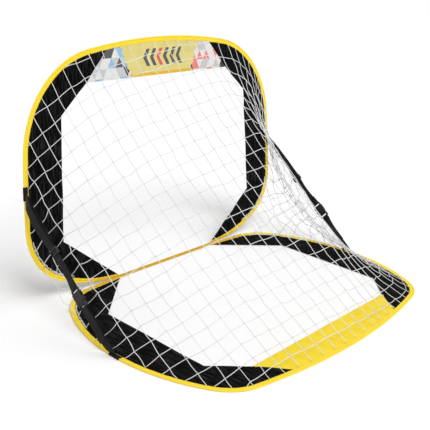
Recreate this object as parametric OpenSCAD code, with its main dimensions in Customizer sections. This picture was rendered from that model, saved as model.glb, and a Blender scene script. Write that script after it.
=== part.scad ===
// Pop-up folding goal: two spring wire hoops in fabric sleeves, sewn together along a straight hinge
// edge, with fabric panels, one net that spans both hoops, and two buckled straps that hold it open.
// The base hoop lies on the floor, the upright hoop frames the mouth, +Y points to the rear.

/* [Hoops] */
// Width of the upright hoop over its sleeve
mouth_w = 920; // [860:1:980]
// Height of the upright hoop, measured in its own plane
mouth_h = 584; // [550:1:620]
// Width of the base hoop over its sleeve
base_w = 946; // [900:1:1000]
// Depth of the base hoop from the hinge to the rear
base_d = 590; // [560:1:630]
// Length of the straight edge along which the two sleeves are sewn together
hinge_w = 370; // [320:1:420]
// Angle between the two hoops when the straps are taut
open_angle = 98.5; // [90:0.5:105]

/* [Upright hoop curves] */
// Radius of the bowed top
top_r = 1675; // [1400:5:2200]
// Radius of the top corners
top_corner_r = 245; // [200:1:280]
// Radius of the bowed sides
mouth_side_r = 2415; // [1800:5:3000]
// Radius of the lower corners
foot_corner_r = 149; // [120:1:170]
// Radius of the curve between a lower corner and the hinge edge
foot_r = 460; // [400:5:600]
// Height at which the upright hoop is widest
mouth_widest = 153; // [140:1:180]

/* [Base hoop curves] */
// Radius of the bowed rear
rear_r = 1739; // [1400:5:2200]
// Radius of the rear corners
rear_corner_r = 124; // [100:1:150]
// Radius of the bowed sides
base_side_r = 405; // [380:5:600]
// Radius of the front corners
front_corner_r = 156; // [120:1:180]
// Radius of the curve between a front corner and the hinge edge
front_r = 2875; // [2000:5:3500]
// Distance from the hinge at which the base hoop is widest
base_widest = 294; // [270:1:310]

/* [Wire and sleeve] */
// Diameter of the spring steel wire
wire_d = 2; // [1.6:0.1:2.4]
// Outer diameter of the crimped ferrule that joins the wire ends
ferrule_d = 2.6; // [2.5:0.05:2.65]
// Length of the ferrule
ferrule_l = 32; // [20:1:50]
// Inner diameter of the wire pocket in the sleeve
pocket_d = 2.7; // [2.7:0.05:3]
// Thickness of the sleeve fabric
fabric_t = 0.4; // [0.3:0.05:0.5]
// Width of the sleeve band, from its outer edge to its inner edge
band_w = 13; // [11:0.5:16]
// How deep the panels are sewn into the sleeve band
seam_depth = 6; // [4:0.5:7]

/* [Panels] */
// Thickness of the panel fabric
panel_t = 0.5; // [0.3:0.05:0.6]
// Half width of the mouth opening at its lower corners
mouth_low_x = 353; // [330:1:370]
// Height of the lower corners of the mouth opening
mouth_low_y = 130; // [110:1:150]
// Half width of the mouth opening at its upper corners
mouth_high_x = 338; // [310:1:350]
// Height of the upper corners of the mouth opening
mouth_high_y = 422; // [400:1:440]
// Half width of the mouth opening along its top edge
mouth_top_x = 256; // [230:1:280]
// Height of the top edge of the mouth opening
mouth_top_y = 490; // [470:1:510]
// Half width of the top panel where its end seams meet the sleeve
top_seam_x = 183; // [150:1:220]
// Half width of the floor opening at its front corners
floor_low_x = 347; // [330:1:370]
// Distance of the front corners of the floor opening from the hinge
floor_low_y = 133; // [110:1:150]
// Half width of the floor opening at its rear corners
floor_high_x = 357; // [330:1:370]
// Distance of the rear corners of the floor opening from the hinge
floor_high_y = 428; // [400:1:440]
// Half width of the floor opening along its rear edge
floor_rear_x = 279; // [250:1:300]
// Distance of the rear edge of the floor opening from the hinge
floor_rear_y = 498; // [480:1:520]
// Half width of the rear panel where its end seams meet the sleeve
rear_seam_x = 217; // [180:1:250]
// Width of the folded hem along the inner edge of the top and rear panels
hem_w = 6; // [4:0.5:9]

/* [Net] */
// Number of gaps across the net, from one foot corner over the top to the other
net_across = 30; // [16:2:30]
// Number of gaps down the net, from the upright hoop to the base hoop
net_down = 9; // [6:1:10]
// Thickness of the net strands
strand_t = 2; // [1.5:0.1:2.5]
// How far the net's longest strands bow out behind a straight line
net_bow = 7; // [0:1:20]
// Length of each hoop's edge beside the hinge that the net leaves free
net_end_gap = 95; // [80:1:140]

/* [Straps] */
// Width of the webbing
webbing_w = 20; // [15:0.5:22]
// Thickness of the webbing
webbing_t = 1; // [0.8:0.1:1.2]
// Height of the upper strap anchor on the upright hoop
anchor_up = 263; // [240:1:290]
// Distance of the lower strap anchor from the hinge on the base hoop
anchor_back = 280; // [250:1:310]
// Distance from the lower anchor to the bar of the plug
plug_at = 122; // [110:1:135]
// Length of the loose tail below the plug
tail_l = 84; // [50:1:90]
// Distance from the lower anchor to the tri-glide slider
slider_at = 262; // [245:1:280]
// How far the slack loop above the slider stands out
loop_bow = 8; // [5:0.5:10]

/* [Buckle] */
// Width of the buckle socket
buckle_w = 27; // [26:0.5:30]
// Thickness of the buckle socket
buckle_t = 7.5; // [7:0.25:9]
// Length of the socket's body from its mouth to its yoke
socket_l = 24; // [22:1:28]
// Wall thickness of the socket
socket_wall = 1.5; // [1.2:0.1:1.8]
// Diameter of the bars that the webbing is looped round
bar_d = 3; // [2.5:0.25:3.5]
// Gap between the webbing and the bars, and between the plug's arms and the socket
slip = 0.3; // [0.25:0.05:0.4]

/* [Hidden] */
$fn = 96;

// running gap between pieces that fold past each other, and between sewn pieces
fold_gap = 0.3;
sewn_gap = 0.05;
// slide gap between ferrule and wire
crimp_gap = 0.02;

// sleeve section: the wire pocket is a round tube at the outer edge, the band is flat
tube_r = pocket_d / 2 + fabric_t;
slot_t = panel_t + 2 * sewn_gap;
band_t = slot_t + 2 * fabric_t;
slot_inset = band_w - seam_depth;

// hinge: both tubes stay clear of each other from folded flat to fully open
hinge_out = 0.54 * tube_r;
hinge_lift = tube_r + fold_gap / 2;
hinge_q = tube_r - hinge_out;
hinge_z = tube_r + hinge_lift;

// the origin lies at the middle of the plan outline, on the floor
rear_y = base_d - hinge_q;
front_y = (mouth_h - tube_r - hinge_q) * cos(open_angle) - hinge_lift * sin(open_angle) - tube_r;
middle_y = (rear_y + front_y) / 2;

// A quadrant of an oval is three tangent arcs: a bowed one of radius rf that tops it at height b, a corner
// of radius rc, and a bowed side of radius rs that bounds it at width a. This is the corner's centre.
function corner_centre(a, b, rf, rc, rs) =
    let (top = [0, b - rf], side = [a - rs, 0], d = side - top, dist = norm(d), e = d / dist,
         along = ((rf - rc) ^ 2 - (rs - rc) ^ 2 + dist ^ 2) / (2 * dist),
         off = sqrt((rf - rc) ^ 2 - along ^ 2))
    top + along * e + off * [e.y, -e.x];

// The right half of a hoop, from the middle of its far edge round to the hinge edge, as arcs of
// [centre, outer radius, start angle, end angle].
function hoop_arcs(half_w, length, widest, far_r, far_corner, side_r, near_corner, near_r) =
    let (straight = hinge_w / 2,
         far_c = corner_centre(half_w, length - widest, far_r, far_corner, side_r),
         near_c = corner_centre(half_w - straight, widest, near_r, near_corner, side_r),
         far_end = atan2(far_c.y - (length - widest - far_r), far_c.x),
         side_start = atan2(far_c.y, far_c.x - (half_w - side_r)),
         side_end = atan2(near_c.y, near_c.x - (half_w - straight - side_r)),
         near_start = atan2(near_c.y - (widest - near_r), near_c.x))
    [[[0, length - far_r], far_r, 90, far_end],
     [[far_c.x, widest + far_c.y], far_corner, far_end, side_start],
     [[half_w - side_r, widest], side_r, side_start, -side_end],
     [[straight + near_c.x, widest - near_c.y], near_corner, -side_end, -near_start],
     [[straight, near_r], near_r, -near_start, -90]];

upright_arcs = hoop_arcs(mouth_w / 2, mouth_h, mouth_widest, top_r, top_corner_r, mouth_side_r,
                         foot_corner_r, foot_r);
base_arcs = hoop_arcs(base_w / 2, base_d, base_widest, rear_r, rear_corner_r, base_side_r,
                      front_corner_r, front_r);

function arc_length(arc, inset) = (arc[1] - inset) * (arc[2] - arc[3]) * PI / 180;
function hoop_length(arcs, inset) = arc_length(arcs[0], inset) + arc_length(arcs[1], inset)
    + arc_length(arcs[2], inset) + arc_length(arcs[3], inset) + arc_length(arcs[4], inset);

// The point at a distance s along the hoop from the middle of its far edge, set in from the outer edge.
function hoop_point(arcs, s, inset, i = 0) =
    let (arc = arcs[i], l = arc_length(arc, inset))
    s <= l || i == 4
        ? let (angle = arc[2] - (arc[2] - arc[3]) * s / l)
          arc[0] + (arc[1] - inset) * [cos(angle), sin(angle)]
        : hoop_point(arcs, s - l, inset, i + 1);

// Half width of a hoop's outer edge at a distance q from the hinge, on its bowed side.
function side_x(arcs, q) = arcs[2][0].x + sqrt(arcs[2][1] ^ 2 - (q - arcs[2][0].y) ^ 2);

// Places pieces drawn flat in a hoop's own plane: y from the hinge edge, z up on the base, and z away
// from the goal's inside on the upright.
module in_base() translate([0, -middle_y - hinge_q, tube_r]) children();
module in_upright()
    translate([0, -middle_y, hinge_z])
        rotate([open_angle, 0, 0])
            translate([0, -hinge_q, hinge_lift])
                children();

// Frames along one whole hoop: [point on the outer edge, outward direction, band width there]. They start
// at the middle of the far arc, run down the right half, cross the hinge edge and return up the left half.
arc_steps = [7, 8, 6, 8, 5];
tip_w = slot_inset + 1.5;
tip_l = 3;

function half_frames(arcs) =
    concat([for (i = [0 : 4], step = [0 : arc_steps[i] - (i < 4 ? 1 : 0)])
               let (arc = arcs[i], angle = arc[2] - (arc[2] - arc[3]) * step / arc_steps[i],
                    out = [cos(angle), sin(angle)],
                    w = i == 4 ? band_w + (tip_w - band_w) * step / arc_steps[i] : band_w)
               [arc[0] + arc[1] * out, out, w]],
           [[[hinge_w / 2 - tip_l, 0], [0, -1], 2 * tube_r]]);
function flipped(f) = [[-f[0].x, f[0].y], [-f[1].x, f[1].y], f[2]];
function hoop_frames(arcs) =
    let (half = half_frames(arcs))
    concat(half, [for (i = [len(half) - 1 : -1 : 1]) flipped(half[i])]);

// A closed ring swept through one section per frame. Sections list [inward, up] points.
module hoop_sweep(frames, sections) {
    m = len(frames);
    n = len(sections[0]);
    points = [for (k = [0 : m - 1], p = sections[k]) let (f = frames[k])
        [f[0].x - f[1].x * p.x, f[0].y - f[1].y * p.x, p.y]];
    faces = [for (k = [0 : m - 1], i = [0 : n - 1])
        let (a = k * n + i, b = k * n + (i + 1) % n, next = (k + 1) % m * n,
             c = next + i, d = next + (i + 1) % n)
        each [[a, b, d], [a, d, c]]];
    polyhedron(points, faces, convexity = 10);
}

function round_section(r, n) = [for (i = [0 : n - 1]) [tube_r + r * cos(360 * i / n), r * sin(360 * i / n)]];

// Sleeve section: fabric folded round the wire, its two layers running inward on both faces of the panel.
// Both sides of the pocket are octagons outside their circles, so the sleeve rests on a flat strip.
wire_sides = 8;
octagon = cos(180 / 8);
function fold_angles(opening) = concat([opening], [for (a = [67.5 : 45 : 292.5]) a], [360 - opening]);
function pocket_points(r, angles) = [for (a = angles) [tube_r + r * cos(a), r * sin(a)]];
function sleeve_section(w) =
    let (pocket_r = pocket_d / 2 / octagon, outer_r = tube_r / octagon, lip = slot_t / 2, face = band_t / 2,
         outer = fold_angles(asin(face / outer_r)), slit = asin(lip / pocket_r),
         inner = concat([slit], [for (a = [22.5 : 45 : 337.5]) a], [360 - slit]))
    concat([[w, face]], pocket_points(outer_r, outer), [[w, -face], [w, -lip]],
           pocket_points(pocket_r, [for (i = [len(inner) - 1 : -1 : 0]) inner[i]]), [[w, lip]]);

module sleeve(arcs) {
    frames = hoop_frames(arcs);
    hoop_sweep(frames, [for (f = frames) sleeve_section(f[2])]);
}

module wire(arcs) {
    frames = hoop_frames(arcs);
    hoop_sweep(frames, [for (f = frames) round_section(wire_d / 2, wire_sides)]);
}

// A ring along the middle of the hinge edge, crimped over the meeting ends of the wire.
module ferrule()
    translate([-ferrule_l / 2, tube_r, 0])
        rotate([0, 90, 0])
            difference() {
                cylinder(d = ferrule_d, h = ferrule_l);
                translate([0, 0, -1]) cylinder(d = wire_d + 2 * crimp_gap, h = ferrule_l + 2);
            }

// Outline points of a panel's sewn edge between two distances along the hoop.
function sewn_edge(arcs, from, to, steps) =
    [for (i = [0 : steps]) hoop_point(arcs, from + (to - from) * i / steps, slot_inset + sewn_gap)];

// Distance along the far arc at which a seam at half width x meets the sewn edge.
function seam_s(arcs, x) =
    let (r = arcs[0][1] - slot_inset - sewn_gap)
    r * asin(x / r) * PI / 180;

// A side panel fills the hoop between its sleeve and the straight edges of the opening.
module side_panel(arcs, low, high, far, seam_x) {
    edge = sewn_edge(arcs, seam_s(arcs, seam_x), hoop_length(arcs, slot_inset + sewn_gap), 72);
    translate([0, 0, -panel_t / 2])
        linear_extrude(panel_t)
            polygon(concat(edge, [low, high, far]));
}

// The far panel lies between the two side panels.
module far_panel(arcs, far, seam_x) {
    end = seam_s(arcs, seam_x);
    right = sewn_edge(arcs, 0, end, 8);
    left = [for (i = [8 : -1 : 1]) [-right[i].x, right[i].y]];
    translate([0, 0, -panel_t / 2])
        linear_extrude(panel_t)
            polygon(concat(left, right, [far, [-far.x, far.y]]));
}

// A folded hem grips the far panel's inner edge.
module hem(far)
    difference() {
        translate([-far.x, far.y - fabric_t, -band_t / 2]) cube([2 * far.x, hem_w, band_t]);
        translate([-far.x - 1, far.y - sewn_gap, -slot_t / 2]) cube([2 * far.x + 2, hem_w, slot_t]);
    }

module upright_side_panel()
    side_panel(upright_arcs, [mouth_low_x, mouth_low_y], [mouth_high_x, mouth_high_y],
               [mouth_top_x, mouth_top_y], top_seam_x);
module base_side_panel()
    side_panel(base_arcs, [floor_low_x, floor_low_y], [floor_high_x, floor_high_y],
               [floor_rear_x, floor_rear_y], rear_seam_x);

// Fabric tape along the outside of the hinge, laid against both tubes at their open angle.
module tape() {
    base_tube = [hinge_out, -hinge_lift];
    upright_tube = [hinge_out * cos(open_angle) - hinge_lift * sin(open_angle),
                    hinge_out * sin(open_angle) + hinge_lift * cos(open_angle)];
    across = upright_tube - base_tube;
    outward = [-across.y, across.x] / norm(across);
    tape_w = 2.6;
    tape_t = fabric_t;
    middle = (base_tube + upright_tube) / 2 + outward * (tube_r + fold_gap + tape_t / 2);
    translate([-hinge_w / 2, middle.x - middle_y, middle.y + hinge_z])
        rotate([atan2(across.y, across.x), 0, 0])
            translate([0, -tape_w / 2, -tape_t / 2])
                cube([hinge_w, tape_w, tape_t]);
}

// Net: strands run from the upright sleeve to the same place along the base sleeve, and bow out a little.
net_inset = 6;
net_stand_off = band_t / 2 + fold_gap + strand_t * 0.75;

function on_upright(p, lift) =
    let (q = p.y - hinge_q, n = hinge_lift - lift)
    [p.x, q * cos(open_angle) - n * sin(open_angle) - middle_y,
     q * sin(open_angle) + n * cos(open_angle) + hinge_z];
function on_base(p, lift) = [p.x, p.y - hinge_q - middle_y, tube_r + lift];

function net_point(i, j) =
    let (u = 2 * i / net_across - 1,
         upright_s = abs(u) * (hoop_length(upright_arcs, net_inset) - net_end_gap),
         base_s = abs(u) * (hoop_length(base_arcs, net_inset) - net_end_gap),
         side = u < 0 ? -1 : 1,
         a = on_upright(hoop_point(upright_arcs, upright_s, net_inset), net_stand_off),
         b = on_base(hoop_point(base_arcs, base_s, net_inset), net_stand_off),
         t = j / net_down,
         chord = norm(b - a),
         inward = [0, -middle_y, hinge_z] - [0, (a.y + b.y) / 2, (a.z + b.z) / 2],
         bow = net_bow * (chord / (mouth_h + base_d) * 1.32) ^ 2 * 4 * t * (1 - t),
         p = a + (b - a) * t - inward / norm(inward) * bow)
    [side * p.x, p.y, p.z];

net_knots = [for (i = [0 : net_across]) [for (j = [0 : net_down]) net_point(i, j)]];
function knot(i, j) = net_knots[min(max(i, 0), net_across)][min(max(j, 0), net_down)];

// Each knot is a square of four corners on each face of the net, and each strand joins two squares.
function knot_corners(i, j) =
    let (along = knot(i + 1, j) - knot(i - 1, j), down = knot(i, j + 1) - knot(i, j - 1),
         e = along / norm(along), f0 = down - (down * e) * e, f = f0 / norm(f0), n = cross(e, f),
         h = strand_t / 2, p = knot(i, j))
    [for (face = [1, -1], c = [[-1, -1], [1, -1], [1, 1], [-1, 1]]) p + h * (c.x * e + c.y * f + face * n)];

net_points = [for (i = [0 : net_across], j = [0 : net_down]) each knot_corners(i, j)];
function first(i, j) = 8 * (i * (net_down + 1) + j);
function quad(a, b, c, d) = [[a, b, c], [a, c, d]];

// Squares of every knot, then strands along i, then strands along j, then the closed ends at the border.
net_faces = [
    for (i = [0 : net_across], j = [0 : net_down]) let (k = first(i, j))
        each concat(quad(k + 3, k + 2, k + 1, k), quad(k + 4, k + 5, k + 6, k + 7)),
    for (i = [0 : net_across - 1], j = [0 : net_down]) let (k = first(i, j), m = first(i + 1, j))
        each concat(quad(k + 2, m + 3, m, k + 1), quad(k + 5, m + 4, m + 7, k + 6),
                    quad(k + 1, m, m + 4, k + 5), quad(k + 6, m + 7, m + 3, k + 2)),
    for (i = [0 : net_across], j = [0 : net_down - 1]) let (k = first(i, j), m = first(i, j + 1))
        each concat(quad(k + 3, m, m + 1, k + 2), quad(k + 6, m + 5, m + 4, k + 7),
                    quad(k + 2, m + 1, m + 5, k + 6), quad(k + 7, m + 4, m, k + 3)),
    for (j = [0 : net_down]) let (k = first(0, j), m = first(net_across, j))
        each concat(quad(k, k + 4, k + 7, k + 3), quad(m + 2, m + 6, m + 5, m + 1)),
    for (i = [0 : net_across]) let (k = first(i, 0), m = first(i, net_down))
        each concat(quad(k + 1, k + 5, k + 4, k), quad(m + 3, m + 7, m + 6, m + 2))
];

// Strap anchors: webbing folded over the outer edge of a sleeve and sewn down beside the net's edge.
anchor_span = webbing_w / sin((180 - open_angle) / 2);
anchor_gap = 0.2;
strap_off = anchor_gap + webbing_t + fold_gap + webbing_t / 2;

anchor_reach = net_inset - strand_t / 2 - 2 * fold_gap;

module anchor_section()
    difference() {
        translate([-anchor_reach, -tube_r + anchor_gap])
            square([anchor_reach + anchor_gap + webbing_t, 2 * tube_r + webbing_t]);
        translate([-anchor_reach - 1, -tube_r - 1])
            square([anchor_reach + 1 + anchor_gap, 2 * tube_r + 1 + anchor_gap]);
    }

module anchor(arcs, q) {
    side = arcs[2];
    angle = asin((q - side[0].y) / side[1]);
    span = anchor_span / side[1] * 180 / PI;
    translate(side[0])
        rotate([0, 0, angle - span / 2])
            rotate_extrude(angle = span)
                translate([side[1], 0])
                    children();
}

module upper_anchor() in_upright() mirror([0, 0, 1]) anchor(upright_arcs, anchor_up) anchor_section();
module lower_anchor() in_base() anchor(base_arcs, anchor_back) anchor_section();

// Strap frame: y runs from the lower anchor to the upper one, x points away from the goal, z is the width.
strap_low = on_base([side_x(base_arcs, anchor_back) + strap_off, anchor_back], 0);
strap_high = on_upright([side_x(upright_arcs, anchor_up) + strap_off, anchor_up], 0);
strap = strap_high - strap_low;
strap_l = norm(strap);

module in_strap()
    translate(strap_low)
        rotate([atan2(strap.z, strap.y), 0, 0])
            rotate([0, 0, asin(-strap.x / strap_l)])
                children();

// a bar and the webbing looped round it, beside the strap's centre line
bar_x = webbing_t / 2 + slip + bar_d / 2;
loop_r = bar_d / 2 + slip;
yoke_l = bar_d + 5;
socket_at = plug_at + bar_d / 2 + 12;
socket_bar_at = socket_at + socket_l + yoke_l - bar_d / 2;

// Webbing edge-on: a strand beside the centre line, a turn round a bar, and a short return strand.
module strand(from, to, x = 0)
    translate([x - webbing_t / 2, from])
        square([webbing_t, to - from]);

module turn(at, way)
    intersection() {
        translate([bar_x, at])
            difference() {
                circle(loop_r + webbing_t);
                circle(loop_r);
            }
        translate([-loop_r, way > 0 ? at : at - 2 * loop_r - 2 * webbing_t])
            square([4 * loop_r + 4 * webbing_t, 2 * loop_r + 2 * webbing_t]);
    }

// The slack outer strand of the loop above the slider, as an arc of a given bow.
module bowed_strand(from, to, bow) {
    r = ((to - from) ^ 2 / 4 + bow ^ 2) / (2 * bow);
    intersection() {
        translate([bow - r + webbing_t, (from + to) / 2])
            difference() {
                circle(r + webbing_t / 2, $fn = 360);
                circle(r - webbing_t / 2, $fn = 360);
            }
        translate([webbing_t * 0.4, from - 20])
            square([bow + 2 * webbing_t, to - from + 40]);
    }
}

cut_reach = 60;
module lower_webbing()
    intersection() {
        in_strap()
            translate([0, 0, -webbing_w / 2])
                linear_extrude(webbing_w) {
                    strand(-cut_reach, plug_at);
                    turn(plug_at, 1);
                    strand(plug_at - tail_l, plug_at, 2 * bar_x);
                }
        translate([0, -middle_y, fold_gap]) cube([base_w, 2 * base_d, mouth_h]);
    }

// The slack strap folds over at a crease between buckle and slider when the goal is folded flat.
crease_at = strap_l / 2 + 9;

module buckle_webbing()
    in_strap()
        translate([0, 0, -webbing_w / 2])
            linear_extrude(webbing_w) {
                strand(socket_bar_at, crease_at - fold_gap / 2);
                turn(socket_bar_at, -1);
                strand(socket_bar_at, socket_bar_at + 24, 2 * bar_x);
            }

module upper_webbing()
    difference() {
        in_strap()
            translate([0, 0, -webbing_w / 2])
                linear_extrude(webbing_w) {
                    strand(crease_at + fold_gap / 2, strap_l + cut_reach);
                    bowed_strand(slider_at + 9, strap_l - 4, loop_bow);
                }
        in_upright()
            translate([0, -mouth_h, tube_r - fold_gap])
                cube([base_w, 3 * mouth_h, 3 * cut_reach]);
    }

// Tri-glide slider: two side rails, end bars outside the webbing and a middle bar behind it.
slider_l = 15;
slider_bar = 3;
module slider() {
    inner_w = webbing_w + 1;
    behind = -webbing_t / 2 - slip;
    front = webbing_t * 1.5 + slip;
    in_strap()
        translate([0, slider_at - slider_l / 2, 0]) {
            for (z = [-inner_w / 2 - 2, inner_w / 2])
                translate([behind - 1.5, 0, z]) cube([front - behind + 3, slider_l, 2]);
            for (y = [0, slider_l - slider_bar])
                translate([front, y, -inner_w / 2 - 1]) cube([1.5, slider_bar, inner_w + 2]);
            translate([behind - 1.5, (slider_l - slider_bar) / 2, -inner_w / 2 - 1])
                cube([1.5, slider_bar, inner_w + 2]);
        }
}

// A plate in the strap's own plane with round corners, from y = 0 to l, centred in thickness and width.
module rounded_plate(l, w, t, r)
    rotate([0, 90, 0])
        translate([0, 0, -t / 2])
            linear_extrude(t) {
                translate([-w / 2 + r, 0]) square([w - 2 * r, l]);
                translate([-w / 2, r]) square([w, l - 2 * r]);
                for (x = [-w / 2 + r, w / 2 - r], y = [r, l - r]) translate([x, y]) circle(r);
            }

module bar(at) translate([0, at, 0]) cylinder(d = bar_d, h = webbing_w + 2, center = true);

// Buckle socket: a flat box, open at its mouth and at both sides, with a yoke and bar for the webbing.
cavity_w = buckle_w - 5;
window_l = 11;
module buckle_socket()
    in_strap()
        translate([bar_x, socket_at, 0]) {
            difference() {
                union() {
                    rounded_plate(socket_l, buckle_w, buckle_t, 3);
                    translate([0, socket_l - 4, 0]) rounded_plate(yoke_l + 4, buckle_w - 2, bar_d + 1, 2);
                }
                translate([-buckle_t / 2 + socket_wall, -1, -cavity_w / 2])
                    cube([buckle_t - 2 * socket_wall, socket_l - 2, cavity_w]);
                for (z = [-buckle_w / 2 - 1, cavity_w / 2 - 1.5])
                    translate([-buckle_t / 2 + socket_wall, 6, z])
                        cube([buckle_t - 2 * socket_wall, window_l, (buckle_w - cavity_w) / 2 + 2.5]);
                translate([-bar_d, socket_l + 1, -webbing_w / 2 - 0.5])
                    cube([2 * bar_d, yoke_l + 4, webbing_w + 1]);
            }
            bar(socket_l + yoke_l - bar_d / 2);
        }

// Buckle plug: a ladder body for the webbing, a centre tongue, and two sprung arms with barbs.
plug_body_l = socket_at - fold_gap - plug_at + bar_d / 2;
arm_l = socket_l - 5;
arm_w = 2.6;
arm_t = buckle_t - 2 * socket_wall - 2 * slip;
module plug_arm() {
    z = cavity_w / 2 - slip - arm_w;
    translate([-arm_t / 2, -1, z]) cube([arm_t, arm_l + 1, arm_w]);
    // the barb stands out into the socket's side window
    translate([-arm_t / 2, 0, z])
        rotate([0, 90, 0])
            linear_extrude(arm_t)
                polygon([[0, 6 + slip], [-arm_w - 2, 6 + slip], [-arm_w - 2, 9], [-arm_w, 6 + window_l - 1],
                         [0, 6 + window_l - 1]]);
}

module buckle_plug()
    in_strap()
        translate([bar_x, 0, 0]) {
            difference() {
                translate([0, plug_at - bar_d / 2, 0])
                    rounded_plate(plug_body_l, buckle_w - 1, buckle_t - 1, 2.5);
                translate([-buckle_t, plug_at - bar_d, -webbing_w / 2 - 0.5])
                    cube([2 * buckle_t, bar_d + 4.5 + bar_d / 2, webbing_w + 1]);
            }
            bar(plug_at);
            translate([0, socket_at, 0]) {
                for (side = [0, 1]) mirror([0, 0, side]) plug_arm();
                translate([-arm_t / 2, -1, -2]) cube([arm_t, arm_l - 5, 4]);
            }
        }

sleeve_yellow = [0.98, 0.80, 0.10];
panel_yellow = [0.94, 0.80, 0.10];
panel_black = [0.08, 0.08, 0.08];
webbing_black = [0.14, 0.14, 0.14];

module base_sleeve() color(sleeve_yellow) in_base() sleeve(base_arcs);
module base_wire() color("silver") in_base() wire(base_arcs);
module base_ferrule() color("gray") in_base() ferrule();
module base_right_panel() color(panel_black) in_base() base_side_panel();
module base_left_panel() color(panel_black) mirror([1, 0, 0]) in_base() base_side_panel();
module base_rear_panel()
    color(panel_yellow)
        in_base()
            far_panel(base_arcs, [floor_rear_x, floor_rear_y], rear_seam_x);
module rear_hem() color(panel_yellow) in_base() hem([floor_rear_x, floor_rear_y]);
module hinge_tape() color("goldenrod") tape();
module upright_sleeve() color(sleeve_yellow) in_upright() sleeve(upright_arcs);
module upright_wire() color("silver") in_upright() wire(upright_arcs);
module upright_ferrule() color("gray") in_upright() ferrule();
module upright_right_panel() color(panel_black) in_upright() upright_side_panel();
module upright_left_panel() color(panel_black) mirror([1, 0, 0]) in_upright() upright_side_panel();
module upright_top_panel()
    color([0.90, 0.84, 0.55])
        in_upright()
            far_panel(upright_arcs, [mouth_top_x, mouth_top_y], top_seam_x);
module top_hem() color(panel_yellow) in_upright() hem([mouth_top_x, mouth_top_y]);
module net() color("whitesmoke") polyhedron(net_points, net_faces, convexity = 10);
module right_upper_anchor() color(webbing_black) upper_anchor();
module left_upper_anchor() mirror([1, 0, 0]) right_upper_anchor();
module right_lower_anchor() color(webbing_black) lower_anchor();
module left_lower_anchor() mirror([1, 0, 0]) right_lower_anchor();
module right_upper_webbing() color(webbing_black) upper_webbing();
module left_upper_webbing() mirror([1, 0, 0]) right_upper_webbing();
module right_buckle_webbing() color(webbing_black) buckle_webbing();
module left_buckle_webbing() mirror([1, 0, 0]) right_buckle_webbing();
module right_lower_webbing() color(webbing_black) lower_webbing();
module left_lower_webbing() mirror([1, 0, 0]) right_lower_webbing();
module right_slider() color("black") slider();
module left_slider() mirror([1, 0, 0]) right_slider();
module right_buckle_socket() color("black") buckle_socket();
module left_buckle_socket() mirror([1, 0, 0]) right_buckle_socket();
module right_buckle_plug() color("dimgray") buckle_plug();
module left_buckle_plug() mirror([1, 0, 0]) right_buckle_plug();

base_sleeve();
base_wire();
base_ferrule();
base_left_panel();
base_right_panel();
base_rear_panel();
rear_hem();
hinge_tape();
upright_sleeve();
upright_wire();
upright_ferrule();
upright_left_panel();
upright_right_panel();
upright_top_panel();
top_hem();
net();
left_upper_anchor();
right_upper_anchor();
left_lower_anchor();
right_lower_anchor();
left_upper_webbing();
right_upper_webbing();
left_buckle_webbing();
right_buckle_webbing();
left_lower_webbing();
right_lower_webbing();
left_slider();
right_slider();
left_buckle_socket();
right_buckle_socket();
left_buckle_plug();
right_buckle_plug();
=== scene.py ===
import bmesh
import bpy
import math
import numpy as np
from mathutils import Matrix, Vector


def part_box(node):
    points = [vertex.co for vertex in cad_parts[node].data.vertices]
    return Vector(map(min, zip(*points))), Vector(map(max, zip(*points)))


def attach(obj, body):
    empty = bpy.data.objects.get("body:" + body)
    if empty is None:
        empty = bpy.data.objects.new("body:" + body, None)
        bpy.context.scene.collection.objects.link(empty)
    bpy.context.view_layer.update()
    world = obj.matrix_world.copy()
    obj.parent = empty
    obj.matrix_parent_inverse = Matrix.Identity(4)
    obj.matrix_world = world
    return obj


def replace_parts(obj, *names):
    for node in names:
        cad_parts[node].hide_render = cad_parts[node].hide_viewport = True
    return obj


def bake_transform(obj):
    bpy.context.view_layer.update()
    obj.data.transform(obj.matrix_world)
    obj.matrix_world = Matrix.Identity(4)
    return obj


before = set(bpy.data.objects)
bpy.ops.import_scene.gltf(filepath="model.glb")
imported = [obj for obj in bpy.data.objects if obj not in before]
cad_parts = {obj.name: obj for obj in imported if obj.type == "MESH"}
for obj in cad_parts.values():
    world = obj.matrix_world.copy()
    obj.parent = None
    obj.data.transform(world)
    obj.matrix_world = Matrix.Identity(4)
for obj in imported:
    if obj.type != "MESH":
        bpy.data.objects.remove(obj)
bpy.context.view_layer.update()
scene = bpy.context.scene

# ---------------------------------------------------------------- camera
# The goal stands open on the floor, seen through a long lens from behind and above, past its right
# side. The camera leans a little to one side, so the hinge line runs uphill in the view.
camera_place = (1.614, 1.124, 0.898)
camera_turn = 0.918964
camera_dip = 0.343428
camera_lean = 0.106551
aim = Vector((-math.sin(camera_turn) * math.cos(camera_dip),
              -math.cos(camera_turn) * math.cos(camera_dip),
              -math.sin(camera_dip)))
camera_data = bpy.data.cameras.new("camera")
camera_data.sensor_width = 36
camera_data.lens = 71.91
camera = bpy.data.objects.new("camera", camera_data)
scene.collection.objects.link(camera)
camera.matrix_world = (Matrix.Translation(camera_place) @ aim.to_track_quat("-Z", "Y").to_matrix().to_4x4()
                       @ Matrix.Rotation(camera_lean, 4, "Z"))
scene.camera = camera
scene.view_settings.view_transform = "Standard"


# ---------------------------------------------------------------- floor and light
# A plain pale floor under soft studio light. Its colour is the white of the surroundings, and it
# keeps the goal's own soft shadow.
def colour(red, green, blue):
    """A display colour from 0 to 255 as the linear colour that a shader takes."""
    values = [v / 255 for v in (red, green, blue)]
    return (*[v / 12.92 if v <= 0.04045 else ((v + 0.055) / 1.055) ** 2.4 for v in values], 1.0)


def feed(tree, inputs, values):
    """Gives each input the value in its place: another socket is linked, a number set, None passed over."""
    for socket, value in zip(inputs, values):
        if isinstance(value, bpy.types.NodeSocket):
            tree.links.new(value, socket)
        elif value is not None:
            socket.default_value = value


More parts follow.
